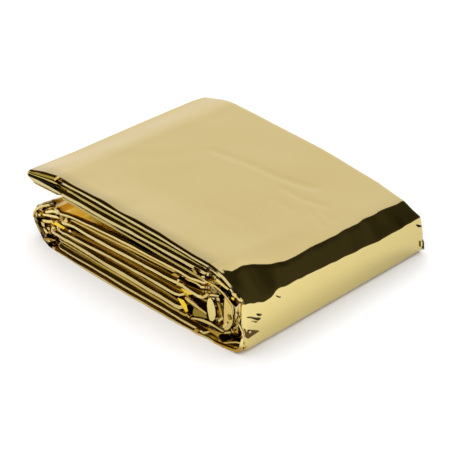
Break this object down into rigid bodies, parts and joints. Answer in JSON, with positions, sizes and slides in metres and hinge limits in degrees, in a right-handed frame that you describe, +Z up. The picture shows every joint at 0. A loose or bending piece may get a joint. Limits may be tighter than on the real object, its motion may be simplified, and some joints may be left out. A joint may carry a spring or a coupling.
{
  "type": "emergency foil blanket folded to a packet",
  "caption": "Thin gold metallised film blanket folded and rolled flat into a hand-sized packet, with one open flap on top.",
  "frame": {"origin": "centre of the packet's bounding box at the surface that it lies on", "axes": "+Z up through the folded layers, +X along the packet towards the wrapped right end and away from the open flap, +Y across the strip from the looser front edge to the flatter back edge"},
  "size_m": [0.1246, 0.1034, 0.0307],
  "materials": {
    "gold_film": "bright gold metallised polyester film, lightly crumpled"
  },
  "bodies": {
    "root": {"foil_blanket": "gold_film"}
  },
  "joints": []
}
